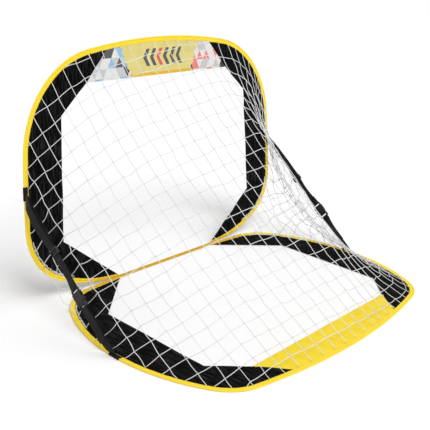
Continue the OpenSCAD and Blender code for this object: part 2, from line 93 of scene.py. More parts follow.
def node(tree, kind, *values, **settings):
    """A new shader node with its settings, whose inputs take the values."""
    made = tree.nodes.new("ShaderNode" + kind)
    for name, value in settings.items():
        setattr(made, name, value)
    feed(tree, made.inputs, values)
    return made


def calculate(tree, operation, *values):
    """The result of one math node."""
    return node(tree, "Math", *values, operation=operation).outputs[0]


def scaled(tree, value, factor, more):
    """A value times a factor, plus more."""
    return calculate(tree, "MULTIPLY_ADD", value, factor, more)


def mixed(tree, share, first, second):
    """The colour that goes from first to second with the share."""
    mix = node(tree, "Mix", data_type="RGBA")
    feed(tree, (mix.inputs[0], mix.inputs[6], mix.inputs[7]), (share, first, second))
    return mix.outputs[2]


floor_mesh = bpy.data.meshes.new("floor")
floor_mesh.from_pydata([(-20, -20, 0), (20, -20, 0), (20, 20, 0), (-20, 20, 0)], [], [(0, 1, 2, 3)])
floor = bpy.data.objects.new("floor", floor_mesh)
scene.collection.objects.link(floor)
# half a millimetre lower than the goal's underside, so that no faces share a plane
floor.location.z = -0.0005
floor_material = bpy.data.materials.new("floor")
floor_material.use_nodes = True
floor_shader = floor_material.node_tree.nodes["Principled BSDF"].inputs
floor_shader["Base Color"].default_value = (0.97, 0.97, 0.97, 1)
floor_shader["Roughness"].default_value = 0.9
floor_shader["Specular IOR Level"].default_value = 0.1
floor_mesh.materials.append(floor_material)

world = bpy.data.worlds.new("studio")
scene.world = world
world.use_nodes = True
world_tree = world.node_tree
world_tree.nodes.clear()
seen = node(world_tree, "LightPath").outputs["Is Camera Ray"]
around = mixed(world_tree, seen, (0.52, 0.52, 0.525, 1), (1, 1, 1, 1))
background = node(world_tree, "Background", around, 1.0)
node(world_tree, "OutputWorld", background.outputs[0])


def lamp(name, turn, height, spread, strength):
    """A distant soft lamp: turned from +Y towards +X, at a height above the floor, all in degrees."""
    light = bpy.data.lights.new(name, "SUN")
    light.angle = math.radians(spread)
    light.energy = strength
    made = bpy.data.objects.new(name, light)
    scene.collection.objects.link(made)
    made.rotation_euler = (math.radians(height - 90), 0, math.radians(-turn))


lamp("key_light", 20, 58, 35, 1.42)
lamp("fill_light", -60, 50, 50, 0.68)

# ---------------------------------------------------------------- base sleeve
# A band of yellow oxford cloth, folded round the wire of the floor hoop. A row of stitches beside
# the wire keeps it in its pocket, and a second row near the inner edge holds the panels and the net.
MM = 0.001
hinge_w = 370 * MM
hinge_q = 0.805 * MM
hinge_y = -249.811 * MM
tube_r = 1.75 * MM
pocket_w = 2 * tube_r
band_w = 13 * MM
band_end_w = 8.5 * MM
hinge_band_w = 3.6 * MM
wire_row = 5.3 * MM
inner_row = 11.1 * MM


def corner_centre(a, b, far_r, corner_r, side_r):
    """Where the corner arc's centre lies, between a bowed far arc and a bowed side arc that touch it."""
    top = np.array([0, b - far_r])
    side = np.array([a - side_r, 0])
    apart = np.linalg.norm(side - top)
    way = (side - top) / apart
    along = ((far_r - corner_r) ** 2 - (side_r - corner_r) ** 2 + apart ** 2) / (2 * apart)
    off = math.sqrt((far_r - corner_r) ** 2 - along ** 2)
    return top + along * way + off * np.array([way[1], -way[0]])


def hoop_arcs(half_w, length, widest, far_r, far_corner, side_r, near_corner, near_r):
    """The right half of a hoop as rows of centre x, centre y, radius, first and last angle."""
    straight = hinge_w / 2
    far_c = corner_centre(half_w, length - widest, far_r, far_corner, side_r)
    near_c = corner_centre(half_w - straight, widest, near_r, near_corner, side_r)
    far_end = math.atan2(far_c[1] - (length - widest - far_r), far_c[0])
    side_start = math.atan2(far_c[1], far_c[0] - (half_w - side_r))
    side_end = math.atan2(near_c[1], near_c[0] - (half_w - straight - side_r))
    near_start = math.atan2(near_c[1] - (widest - near_r), near_c[0])
    return np.array([
        [0, length - far_r, far_r, math.pi / 2, far_end],
        [far_c[0], widest + far_c[1], far_corner, far_end, side_start],
        [half_w - side_r, widest, side_r, side_start, -side_end],
        [straight + near_c[0], widest - near_c[1], near_corner, -side_end, -near_start],
        [straight, near_r, near_r, -near_start, -math.pi / 2]])


base_arcs = hoop_arcs(473 * MM, 590 * MM, 294 * MM, 1739 * MM, 124 * MM, 405 * MM, 156 * MM, 2875 * MM)


def half_length(arcs):
    """Length of the outer edge from the middle of the far side to the end of the hinge edge."""
    return float((arcs[:, 2] * (arcs[:, 3] - arcs[:, 4])).sum())


def along_hoop(arcs, s, inset=0.0):
    """Points at distances s along the outer edge, positive to the right, and set in from it, with the
    outward directions there. Past both ends of the arcs they run on along the hinge edge."""
    s = np.asarray(s, float)
    starts = np.concatenate([[0], np.cumsum(arcs[:, 2] * (arcs[:, 3] - arcs[:, 4]))])
    far = np.abs(s)
    which = np.clip(np.searchsorted(starts, far, side="right") - 1, 0, 4)
    angle = arcs[which, 3] - (far - starts[which]) / arcs[which, 2]
    out = np.stack([np.cos(angle), np.sin(angle)], -1)
    points = arcs[which, :2] + (arcs[which, 2] - inset)[..., None] * out
    past = (far > starts[5])[..., None]
    hinge_points = np.stack([hinge_w / 2 - (far - starts[5]), inset + 0 * far], -1)
    points = np.where(past, hinge_points, points)
    out = np.where(past, np.array([0, -1.0]), out)
    mirror = np.stack([np.where(s < 0, -1.0, 1.0), np.ones(s.shape)], -1)
    return points * mirror, out * mirror


def on_base(p, q, lift):
    """A place on the base hoop: p across, q from the hinge edge, lift up from the middle of the cloth."""
    p, q, lift = np.broadcast_arrays(p, q, lift)
    return np.stack([p, q - hinge_q + hinge_y, tube_r + lift], -1)


def upward(place):
    """The direction of lift on a hoop, whose places the function gives."""
    return place(0.0, 0.0, 1.0) - place(0.0, 0.0, 0.0)


def set_in(place, points, out, inset, lift):
    """Places on a hoop: its outer edge's points, moved in against the outward directions and lifted."""
    return place(points[..., 0] - out[..., 0] * inset, points[..., 1] - out[..., 1] * inset, lift)


def walked(line):
    """Distance along a line of points, from its start to each."""
    return np.concatenate([[0], np.cumsum(np.linalg.norm(np.diff(line, axis=0), axis=1))])


def points_along(line, at):
    """The points at given distances along a line of points."""
    return np.stack([np.interp(at, walked(line), part) for part in line.T], -1)


def ripple(s, loop, spacing, seed):
    """A smooth wave of random crests about a spacing apart, from -1 to 1, that closes over a loop's length:
    the mean of cosines whose whole numbers of turns lie near the loop over the spacing."""
    rng = np.random.default_rng(seed)
    turns = np.round(loop / spacing * rng.uniform(0.35, 1.25, 14))
    phases = rng.uniform(0, 2 * math.pi, 14)
    waves = np.cos(2 * math.pi * turns * np.asarray(s)[..., None] / loop + phases)
    return waves.sum(-1) / 5


def add_piece(name, mesh, body, finish):
    """Puts a finished mesh in the scene, in its material and riding on a body."""
    made = bpy.data.objects.new(name, mesh)
    scene.collection.objects.link(made)
    mesh.materials.append(finish)
    if body:
        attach(made, body)
    return made


def finished_mesh(name, points, faces, lengths):
    """A smooth mesh with two lengths along the cloth for each corner of its faces."""
    mesh = bpy.data.meshes.new(name)
    mesh.from_pydata(points.reshape(-1, 3).tolist(), [], faces)
    mesh.uv_layers.new(name="cloth").data.foreach_set("uv", lengths.ravel().astype(np.float32))
    mesh.shade_smooth()
    return mesh


def surface(name, grid, cloth, wraps=(False, False), facing=None, ends=False):
    """A smooth mesh through a grid of points. cloth holds two lengths along the fabric for each corner
    of the grid. facing is a direction that an open sheet looks in; a closed one looks outward. ends adds
    a cap at each end of a closed section."""
    rows, columns = grid.shape[:2]
    i, j = np.meshgrid(np.arange(rows - (not wraps[0])), np.arange(columns - (not wraps[1])), indexing="ij")
    corners = [(i, j), (i + 1, j), (i + 1, j + 1), (i, j + 1)]
    faces = np.stack([a % rows * columns + b % columns for a, b in corners], -1).reshape(-1, 4)
    lengths = np.stack([cloth[a, b] for a, b in corners], 2).reshape(-1, 2)
    points = grid.reshape(-1, 3)
    normals = np.cross(points[faces[:, 2]] - points[faces[:, 0]], points[faces[:, 3]] - points[faces[:, 1]])
    outward = points[faces[:, 0]] - points.mean(0) if facing is None else facing
    caps = [list(range(columns)), list(range((rows - 1) * columns, rows * columns))[::-1]] if ends else []
    if (outward * normals).sum() < 0:
        faces = faces[:, ::-1]
        lengths = lengths.reshape(-1, 4, 2)[:, ::-1].reshape(-1, 2)
        caps = [cap[::-1] for cap in caps]
    spare = np.zeros((sum(map(len, caps)), 2))
    return finished_mesh(name, points, faces.tolist() + caps, np.concatenate([lengths, spare]))


def tubes(name, lines, radius, sides=6, up=(0, 0, 1)):
    """Round cords along many lines at once, given as (cords, rings, 3). A ring's points are its centre
    plus the radius times the side and top directions, turned through equal angles."""
    cords, rings = lines.shape[:2]
    radius = np.broadcast_to(radius, (cords, rings))
    way = np.gradient(lines, axis=1)
    way /= np.linalg.norm(way, axis=-1, keepdims=True)
    side = np.cross(way, up)
    side /= np.maximum(np.linalg.norm(side, axis=-1, keepdims=True), 1e-9)
    top = np.cross(side, way)
    turn = (np.arange(sides) * 2 * math.pi / sides)[:, None]
    ring = side[:, :, None] * np.cos(turn) + top[:, :, None] * np.sin(turn)
    points = lines[:, :, None] + radius[:, :, None, None] * ring
    c, i, j = np.meshgrid(np.arange(cords), np.arange(rings - 1), np.arange(sides), indexing="ij")
    corners = [(i, j), (i, j + 1), (i + 1, j + 1), (i + 1, j)]
    faces = np.stack([(c * rings + a) * sides + b % sides for a, b in corners], -1).reshape(-1, 4)
    steps = np.linalg.norm(np.diff(lines, axis=1), axis=-1)
    length = np.concatenate([np.zeros((cords, 1)), np.cumsum(steps, 1)], 1)
    side_w = 2 * math.pi * radius.max() / sides
    lengths = np.stack([np.stack([length[c, a], b * side_w], -1) for a, b in corners], 3).reshape(-1, 2)
    start = np.arange(cords)[:, None] * rings * sides
    caps = np.concatenate([start + np.arange(sides)[::-1], start + (rings - 1) * sides + np.arange(sides)])
    lengths = np.concatenate([lengths, np.zeros((caps.size, 2))])
    return finished_mesh(name, points, faces.tolist() + caps.tolist(), lengths)


def swept(name, grid, first, second, body, finish, wraps=(False, True)):
    """Adds a section that is carried along a path. first and second are the lengths along the cloth down
    and across the grid; a path that doesn't close gets a cap at both ends."""
    cloth = np.stack(np.broadcast_arrays(first, second), -1)
    return add_piece(name, surface(name, grid, cloth, wraps, ends=not wraps[0]), body, finish)


def stitches(name, path, up, pitch, body, thread_material, thread=0.5 * MM, seed=1):
    """A row of thread stitches on a path, each a little off its even place. A stitch is a short cord, as
    thick as the thread times the root of 1 - t squared, where t goes from -1 to 1 along it."""
    half_stitch = 0.37 * pitch
    middles = np.arange(pitch / 2, walked(path)[-1], pitch)
    middles = middles + np.random.default_rng(seed).normal(0, pitch * 0.03, len(middles))
    t = np.array([-0.98, -0.6, 0.6, 0.98])
    lines = points_along(path, middles[:, None] + t * half_stitch) + up * thread / 4
    mesh = tubes(name, lines, thread / 2 * np.sqrt(1 - t ** 2)[None], 5, up=up + 1e-6)
    add_piece(name, mesh, body, thread_material)


def group(name, inputs, outputs):
    """A new shader node group, with the sockets inside it for what comes in and what goes out. A Place
    is a vector, and all others are numbers."""
    tree = bpy.data.node_groups.new(name, "ShaderNodeTree")
    for labels, way in ((inputs, "INPUT"), (outputs, "OUTPUT")):
        for label in labels:
            kind = "NodeSocketVector" if label == "Place" else "NodeSocketFloat"
            tree.interface.new_socket(label, in_out=way, socket_type=kind)
    return tree, tree.nodes.new("NodeGroupInput").outputs, tree.nodes.new("NodeGroupOutput").inputs


# plain weave: sin(pi x) sin(pi y) is a checker of rounded threads, high where warp or weft lies on top
weave, weave_in, weave_out = group("plain_weave", ["Place", "Threads per metre"], ["Height", "Shade"])
weave_place = node(weave, "SeparateXYZ", weave_in[0]).outputs
weave_turns = calculate(weave, "MULTIPLY", weave_in[1], math.pi)
weave_turned = (calculate(weave, "MULTIPLY", at, weave_turns) for at in weave_place[:2])
weave_over = calculate(weave, "MULTIPLY", *(calculate(weave, "SINE", turned) for turned in weave_turned))
weave.links.new(calculate(weave, "POWER", calculate(weave, "ABSOLUTE", weave_over), 0.6), weave_out[0])
weave.links.new(scaled(weave, weave_over, 0.5, 0.5), weave_out[1])

# soiling: soft blotches of two sizes and a fine fleck, from 0 to 1, for colour and gloss that vary
soiling, soiling_in, soiling_out = group("soiling", ["Place"], ["Blotch", "Fleck"])
wide, small, fleck = (node(soiling, "TexNoise", soiling_in[0], None, *noise).outputs[0]
                      for noise in ((9.0, 3.0, 0.55), (55.0, 4.0, 0.6), (900.0, 2.0, 0.5)))
both = scaled(soiling, calculate(soiling, "ADD", wide, small), 1.6, -1.1)
soiling.links.new(node(soiling, "Clamp", both).outputs[0], soiling_out[0])
soiling.links.new(fleck, soiling_out[1])


def use(tree, made, *values):
    """The outputs of a node group that is used in a material."""
    placed = node(tree, "Group", node_tree=made)
    feed(tree, placed.inputs, values)
    return placed.outputs


def soiled(tree):
    """The blotch and the fleck of soiling, which lie fixed on the object."""
    return use(tree, soiling, node(tree, "TexCoord").outputs["Object"])


def dress(tree, shader, base, rough=None, height=None, strength=0.0, depth=0.0):
    """Gives a material its colour and, where they vary, its roughness and the height of its relief."""
    feed(tree, (shader["Base Color"], shader["Roughness"]), (base, rough))
    if height is not None:
        bump = node(tree, "Bump")
        sockets = [bump.inputs[name] for name in ("Height", "Strength", "Distance")]
        feed(tree, sockets, (height, strength, depth))
        tree.links.new(bump.outputs[0], shader["Normal"])


def material(name, roughness, sheen=0.0, specular=0.5, metallic=0.0):
    """A new material, with its tree, its shader's inputs and the cloth coordinates."""
    made = bpy.data.materials.new(name)
    made.use_nodes = True
    tree = made.node_tree
    shader = tree.nodes["Principled BSDF"].inputs
    for label, value in (("Roughness", roughness), ("Sheen Weight", sheen), ("Sheen Roughness", 0.4),
                         ("Specular IOR Level", specular), ("Metallic", metallic)):
        shader[label].default_value = value
    cloth = node(tree, "UVMap", uv_map="cloth").outputs[0]
    return made, tree, shader, cloth


def woven(name, light, dark, threads, roughness, sheen, depth, specular=0.35):
    """A woven cloth. Its colour goes from light to dark in the gaps between threads and in faint blotches,
    and its roughness and relief follow the threads."""
    made, tree, shader, cloth = material(name, roughness, sheen, specular)
    height, shade = use(tree, weave, cloth, threads)
    blotch, speck = soiled(tree)
    gap = calculate(tree, "MULTIPLY", calculate(tree, "SUBTRACT", 1.0, height), 0.45)
    share = scaled(tree, blotch, 0.35, gap)
    share = scaled(tree, shade, 0.15, share)
    rough = scaled(tree, speck, 0.25, roughness - 0.12)
    base = mixed(tree, share, colour(*light), colour(*dark))
    dress(tree, shader, base, rough, height, 0.6, depth)
    return made


def spun(name, light, dark, twist, roughness):
    """A spun or braided thread. Slanting plies run along it at a twist of so many per metre: the ply's
    height is the sine of along plus round."""
    made, tree, shader, cloth = material(name, roughness, 0.3, 0.4)
    place = node(tree, "SeparateXYZ", cloth).outputs
    turns = calculate(tree, "MULTIPLY", calculate(tree, "ADD", place[0], place[1]), twist * 2 * math.pi)
    ply = scaled(tree, calculate(tree, "SINE", turns), 0.5, 0.5)
    blotch = soiled(tree)[0]
    share = scaled(tree, blotch, 0.3, scaled(tree, ply, -0.4, 0.4))
    dress(tree, shader, mixed(tree, share, colour(*light), colour(*dark)), None, ply, 0.5, 0.2 * MM)
    return made


def tinted(cloth_material, share_of, tint):
    """Goes over a material's colour with a tint, by the share that a function makes in its tree."""
    tree = cloth_material.node_tree
    base_colour = tree.nodes["Principled BSDF"].inputs["Base Color"]
    under = base_colour.links[0].from_socket
    tree.links.new(mixed(tree, share_of(tree), under, colour(*tint)), base_colour)


def hinge_painted_shade(tree):
    """The share of painted shade by how close a place is to the hinge line: 0.85 within 8 mm, and none from
    22 mm.
    """
    at = node(tree, "SeparateXYZ", node(tree, "TexCoord").outputs["Object"]).outputs
    off = calculate(tree, "ABSOLUTE", calculate(tree, "SUBTRACT", at[1], hinge_y))
    off = calculate(tree, "ADD", off, calculate(tree, "ABSOLUTE", at[2]))
    return node(tree, "MapRange", off, 8 * MM, 22 * MM, 0.85, 0.0).outputs[0]


sleeve_cloth = woven("sleeve_cloth", (255, 229, 48), (250, 214, 32), 2600, 0.6, 0.15, 0.1 * MM)
# painted shade: along the hinge edge, where the cloth is drawn together in folds, its colour turns a deeper
# gold that stands in for the shade there
tinted(sleeve_cloth, hinge_painted_shade, (206, 160, 22))
gold_thread = spun("gold_thread", (248, 204, 36), (222, 172, 20), 1500, 0.5)

# one face of the band's section, from its inner edge out to the wire: inset from the outer edge, height
band_face = np.array([[13.0, 0.05], [12.85, 0.42], [12.2, 0.72], [11.5, 0.60], [11.1, 0.50], [10.7, 0.62],
                      [9.6, 0.92], [8.2, 1.0], [6.8, 0.92], [5.7, 0.66], [5.3, 0.52], [4.9, 0.66],
                      [4.1, 0.95]]) * MM
turn = np.radians([48, 66, 84, 104, 124, 144, 162])
pocket_face = tube_r * np.stack([1 + np.cos(turn), np.sin(turn)], -1)
half_section = np.concatenate([band_face, pocket_face])
band_section = np.concatenate([half_section, [[0, 0]], half_section[::-1] * [1, -1]])
in_band = np.concatenate([np.ones(13), np.zeros(15), np.ones(13)])


def sleeve(name, arcs, place, body, seed):
    """A band swept round a hoop. Between its two stitch rows the cloth stands up and puckers by slanting
    waves; the band narrows towards the hinge, where only the round pocket is left."""
    edge = half_length(arcs)
    half = edge + hinge_w / 2
    s = np.linspace(-half, half, 1500, endpoint=False)
    near = arcs[4, 2] * (arcs[4, 3] - arcs[4, 4])
    taper = np.clip((np.abs(s) - (edge - near)) / near, 0, 1)
    past = np.clip((np.abs(s) - edge) / (3 * MM), 0, 1)
    width = band_w - (band_w - band_end_w) * taper - (band_end_w - hinge_band_w) * past
    squeeze = ((width - pocket_w) / (band_w - pocket_w))[:, None]
    from_edge, height = band_section.T
    inset = np.where(from_edge > pocket_w, pocket_w + (from_edge - pocket_w) * squeeze, from_edge)
    slack = np.clip(np.sin((from_edge - wire_row) / (inner_row - wire_row) * math.pi), 0, 1) * in_band
    slanting = s[:, None] + 0.9 * from_edge
    pucker = (ripple(slanting, 2 * half, 7 * MM, seed) * 0.34 * MM
              + ripple(slanting, 2 * half, 21 * MM, seed + 1) * 0.2 * MM) * np.clip(squeeze * 3, 0, 1)
    flattened = np.where(in_band > 0, np.clip(squeeze * 4, 0.02, 1), 1)
    height = height * flattened + np.sign(height) * slack * pucker
    wander = ripple(s, 2 * half, 24 * MM, seed + 2)[:, None] * 0.3 * MM * squeeze
    inset = inset + in_band * (from_edge / band_w) ** 4 * wander
    points, out = along_hoop(arcs, s)
    grid = set_in(place, points[:, None], out[:, None], inset, height)
    walk = walked(band_section)
    made = swept(name, grid, np.append(s, half)[:, None], np.append(walk, walk[-1] + 0.1 * MM), body,
                 sleeve_cloth, (True, True))
    along = np.linspace(6 * MM - edge, edge - 6 * MM, 900)
    points, out = along_hoop(arcs, along)
    for label, row, lift in (("inner_row", inner_row, 0.5 * MM), ("wire_row", wire_row, 0.52 * MM)):
        cut = np.interp(along, s, inset[:, np.argmin(np.abs(half_section[:, 0] - row))])
        for face, sign in (("top", 1), ("under", -1)):
            stitches(f"{name}_{label}_{face}", set_in(place, points, out, cut, sign * lift),
                     sign * upward(place), 3.6 * MM, body, gold_thread, seed=seed + 3)
    return made


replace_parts(sleeve("base_band", base_arcs, on_base, "base", 11), "base_sleeve")

# ---------------------------------------------------------------- upright sleeve
# The same band of yellow oxford cloth on the hoop that frames the mouth. This hoop leans back from the
# base, and both sleeves are sewn together along the straight hinge edge.
hinge_lift = 1.9 * MM
hinge_z = 3.65 * MM
open_angle = math.radians(98.5)
upright_arcs = hoop_arcs(460 * MM, 584 * MM, 153 * MM, 1675 * MM, 245 * MM, 2415 * MM, 149 * MM, 460 * MM)


def on_upright(p, q, lift):
    """A place on the upright hoop: p across, q up from the hinge edge, lift towards the goal's inside."""
    p, q, lift = np.broadcast_arrays(p, q, lift)
    up, back = q - hinge_q, hinge_lift - lift
    return np.stack([p, up * math.cos(open_angle) - back * math.sin(open_angle) + hinge_y,
                     up * math.sin(open_angle) + back * math.cos(open_angle) + hinge_z], -1)


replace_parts(sleeve("upright_band", upright_arcs, on_upright, "upright", 23), "upright_sleeve")

# ---------------------------------------------------------------- side panels
# Black polyester panels fill both hoops down their sides and round their corners. Their inner edges are
# straight cuts with a narrow hem, and the sleeve's seam gathers their outer edges a little.
sewn_inset = 7.2 * MM
hem_depth = 7 * MM
cloth_t = 0.45 * MM
sag = 0.9 * MM
sag_spacing = 60 * MM
upright_seam_x = 183 * MM
upright_corners = np.array([(256, 490), (338, 422), (353, 130)]) * MM
base_seam_x = 217 * MM
base_corners = np.array([(279, 498), (357, 428), (347, 133)]) * MM
black_cloth = woven("black_cloth", (5, 5, 6), (1, 1, 2), 2200, 0.75, 0.0, 0.09 * MM, 0.045)


def streaks(tree):
    """Streaks where the cloth's threads catch the light: noise drawn out ten times along the panel."""
    cloth = node(tree, "UVMap", uv_map="cloth").outputs[0]
    drawn_out = node(tree, "VectorMath", cloth, (1.0, 0.1, 1.0), operation="MULTIPLY").outputs[0]
    streak = node(tree, "TexNoise", drawn_out, None, 210.0, 4.0, 0.65).outputs[0]
    return node(tree, "MapRange", streak, 0.48, 0.70, 0.0, 1.0).outputs[0]


tinted(black_cloth, streaks, (46, 46, 47))
black_thread = spun("black_thread", (36, 36, 38), (12, 12, 13), 1500, 0.5)


def waves(p, q, spacing, seed):
    """Smooth random hills about a spacing apart over a plane, from about -1 to 1: the mean of cosines of
    places measured along random directions."""
    rng = np.random.default_rng(seed)
    way = rng.uniform(0, 2 * math.pi, 12)
    size = 2 * math.pi / (spacing * rng.uniform(0.8, 2.2, 12))
    phase = rng.uniform(0, 2 * math.pi, 12)
    where = p[..., None] * np.cos(way) + q[..., None] * np.sin(way)
    return np.cos(where * size + phase).sum(-1) / 4.5


def seam_at(arcs, x):
    """Distance along a hoop's outer edge at which a seam at half width x meets the sewn edge."""
    return arcs[0, 2] * math.asin(x / (arcs[0, 2] - sewn_inset))


def runs(stops, counts):
    """Even steps from each stop to the next, without the repeated ends."""
    parts = [np.linspace(a, b, n) for a, b, n in zip(stops, stops[1:], counts)]
    return np.concatenate([parts[0]] + [part[1:] for part in parts[1:]])


def panel(name, arcs, place, body, cloth_material, outer_s, inner, counts, seed, side=1):
    """A flat panel between the sewn edge and a line of inner corners. outer_s are the distances along the
    hoop that the inner corners are drawn from; between them both edges go in even steps. The gathers
    at the seam fade with distance, and the free part has low waves."""
    s = runs(outer_s, counts)
    free = runs(inner, counts)
    sewn = along_hoop(arcs, s, sewn_inset)[0]
    t = np.linspace(0, 1, 34)[:, None]
    flat = sewn * (1 - t[..., None]) + free * t[..., None]
    depth = np.linalg.norm(free - sewn, axis=-1)
    reach, left = depth * t, depth * (1 - t)
    gather = ripple(s, 2.4, 11 * MM, seed) * 0.5 * MM
    gather = gather * np.exp(-reach / (10 * MM)) * np.clip(reach / (3 * MM), 0, 1)
    low = waves(flat[..., 0], flat[..., 1], sag_spacing, seed + 1) * sag
    low = low * np.clip((reach - 8 * MM) / (30 * MM), 0, 1)
    height = gather + low + 0.2 * MM * (left < hem_depth)
    flat = flat * [side, 1]
    mesh = surface(name, place(flat[..., 0], flat[..., 1], height), flat, facing=upward(place))
    made = add_piece(name, mesh, body, cloth_material)
    thick = made.modifiers.new("thickness", "SOLIDIFY")
    thick.thickness = cloth_t
    thick.offset = 0
    return made, s, free * [side, 1]


def nearest_s(arcs, point):
    """Distance along a hoop's edge of the place nearest to a point."""
    s = np.linspace(0, half_length(arcs), 2000)
    return float(s[np.argmin(np.linalg.norm(along_hoop(arcs, s, sewn_inset)[0] - point, axis=1))])


both_sides = ((1, "right"), (-1, "left"))


def side_panels(name, arcs, place, body, seam_x, corners, seed):
    """The left and the right side panel of a hoop, with the stitches of their inner hems."""
    end = half_length(arcs)
    inner = np.concatenate([corners, [along_hoop(arcs, end, sewn_inset)[0]]])
    outer = [seam_at(arcs, seam_x), nearest_s(arcs, inner[1]), nearest_s(arcs, inner[2]), end]
    for side, label in both_sides:
        made, s, free = panel(f"{label}_{name}", arcs, place, body, black_cloth,
                              outer, inner, (90, 140, 110), seed + side, side)
        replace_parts(made, f"{body}_{label}_panel")
        toward = along_hoop(arcs, s, sewn_inset)[0] * [side, 1] - free
        toward /= np.maximum(np.linalg.norm(toward, axis=1, keepdims=True), 1e-6)
        row = (free + toward * 5.5 * MM)[:-12]
        low = waves(row[:, 0] * side, row[:, 1], sag_spacing, seed + side + 1) * sag
        stitches(f"{label}_{name}_hem_row", place(row[:, 0], row[:, 1], low + 0.4 * MM), upward(place),
                 3.2 * MM, body, black_thread, 0.4 * MM, seed)


side_panels("upright_cloth", upright_arcs, on_upright, "upright", upright_seam_x, upright_corners, 40)
side_panels("base_cloth", base_arcs, on_base, "base", base_seam_x, base_corners, 50)

# ---------------------------------------------------------------- rear panel
# A plain yellow panel of the same cloth closes the back of the floor hoop. Its outer edge is sewn into
# the sleeve's band, and its inner edge has a folded hem.
rear_hem_half_w = 277 * MM
rear_hem_q = 498 * MM
panel_cloth = woven("panel_cloth", (255, 230, 34), (236, 202, 14), 2200, 0.6, 0.2, 0.09 * MM)


def hem(name, place, half_w, q, cloth_material, body, seed):
    """A folded strip on an edge: a long rounded box swept across, whose faces pucker between stitches."""
    p = np.linspace(-half_w, half_w, 360)
    turn = np.linspace(-math.pi / 2, math.pi / 2, 6)
    fold = 0.7 * np.stack([-np.cos(turn), np.sin(turn)], -1)
    run = np.linspace(0.6, 5.8, 9)
    face = np.stack([run, 0.72 + 0 * run], -1)
    section = np.concatenate([fold, face, [[6.0, 0.5], [6.0, -0.5]], face[::-1] * [1, -1]]) * MM
    belly = np.clip(np.sin(section[:, 0] / (4.6 * MM) * math.pi), 0, 1)
    swell = ripple(p[:, None] + section[:, 0] * 0.7, 2.0, 9 * MM, seed) * 0.16 * MM * belly
    height = section[:, 1] + np.sign(section[:, 1]) * swell
    wander = ripple(p, 2.0, 40 * MM, seed + 1)[:, None] * 0.25 * MM
    grid = place(p[:, None], q + section[:, 0] + wander, height)
    across = q + np.append(section[:, 0], section[0, 0])
    made = swept(name, grid, p[:, None], across, body, cloth_material)
    for face, sign in (("top", 1), ("under", -1)):
        path = place(p, q + 4.7 * MM + wander[:, 0], sign * 0.7 * MM)
        stitches(f"{name}_row_{face}", path, sign * upward(place), 3.2 * MM, body,
                 gold_thread, 0.4 * MM, seed)
    return made


def far_panel(name, arcs, place, body, cloth_material, seam_x, far, seed):
    """The panel between the two side panels, drawn from seam to seam."""
    end = seam_at(arcs, seam_x)
    return panel(name, arcs, place, body, cloth_material, [-end, end],
                 np.array([far * [-1, 1], far]), (240,), seed)[0]


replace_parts(far_panel("rear_cloth", base_arcs, on_base, "base", panel_cloth,
                      base_seam_x, base_corners[0], 60), "base_rear_panel")
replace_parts(hem("rear_fold", on_base, rear_hem_half_w, rear_hem_q, panel_cloth, "base", 61), "rear_hem")

# ---------------------------------------------------------------- printed top panel
# A printed panel tops the mouth: a pale field with a row of dark chevrons, a deep yellow border along
# the hem, and a patchwork of small triangles at each end, blue at one end and red at the other.
patch_w = 27 * MM
chevron_q = 534 * MM
chevron_half_h = 21 * MM
chevron_step = 24 * MM
border_q = 497 * MM
ends_from = 104 * MM
tooth = 9 * MM
top_hem_half_w = 254 * MM
top_hem_q = 490 * MM
print_cloth, tree, shader, cloth = material("print_cloth", 0.6, 0.15, 0.35)
place_p, place_q = node(tree, "SeparateXYZ", cloth).outputs[:2]


def below(first, second):
    """1 where first is less than second."""
    return calculate(tree, "LESS_THAN", first, second)


# triangles: cells of a skewed grid, each cut along its diagonal, take a random flat colour
row_n = calculate(tree, "DIVIDE", place_q, patch_w * 0.87)
column_n = scaled(tree, row_n, 0.5, calculate(tree, "DIVIDE", place_p, patch_w))
half_n = calculate(tree, "GREATER_THAN", *(calculate(tree, "FRACT", n) for n in (row_n, column_n)))
key = node(tree, "CombineXYZ", *(calculate(tree, "FLOOR", n) for n in (column_n, row_n)), half_n)
chance = node(tree, "TexWhiteNoise", key.outputs[0]).outputs[0]


def patches(stops):
    """Flat colours by chance, each from its own stop on."""
    ramp = node(tree, "ValToRGB", chance)
    ramp.color_ramp.interpolation = "CONSTANT"
    elements = ramp.color_ramp.elements
    elements.remove(elements[1])
    elements[0].color = colour(*stops[0][1])
    for at, shade in stops[1:]:
        elements.new(at).color = colour(*shade)
    return ramp.outputs[0]


cool = patches([(0, (236, 237, 238)), (0.4, (206, 208, 212)), (0.62, (150, 194, 232)),
                (0.84, (84, 86, 92)), (0.94, (30, 28, 28))])
warm = patches([(0, (238, 236, 236)), (0.4, (208, 206, 208)), (0.62, (244, 136, 128)),
                (0.82, (84, 84, 90)), (0.9, (222, 30, 30)), (0.95, (30, 28, 28))])
ends = mixed(tree, below(place_p, 0.0), cool, warm)
# chevrons: a slanting distance p + 0.6 |q - middle| is cut into six even steps, and half of each is painted
off_middle = calculate(tree, "ABSOLUTE", calculate(tree, "SUBTRACT", place_q, chevron_q))
slant = scaled(tree, off_middle, 0.6, place_p)
step = scaled(tree, slant, 1 / chevron_step, 2.75)
painted = below(calculate(tree, "FRACT", step), 0.5)
for limit in (below(off_middle, chevron_half_h), below(step, 6.0), below(0.0, step)):
    painted = calculate(tree, "MULTIPLY", painted, limit)
accent = calculate(tree, "COMPARE", calculate(tree, "FLOOR", step), 3.0, 0.1)
chevron = mixed(tree, accent, colour(86, 86, 92), colour(232, 92, 84))
field = mixed(tree, painted, colour(233, 219, 132), chevron)
field = mixed(tree, below(place_q, border_q), field, colour(238, 190, 22))
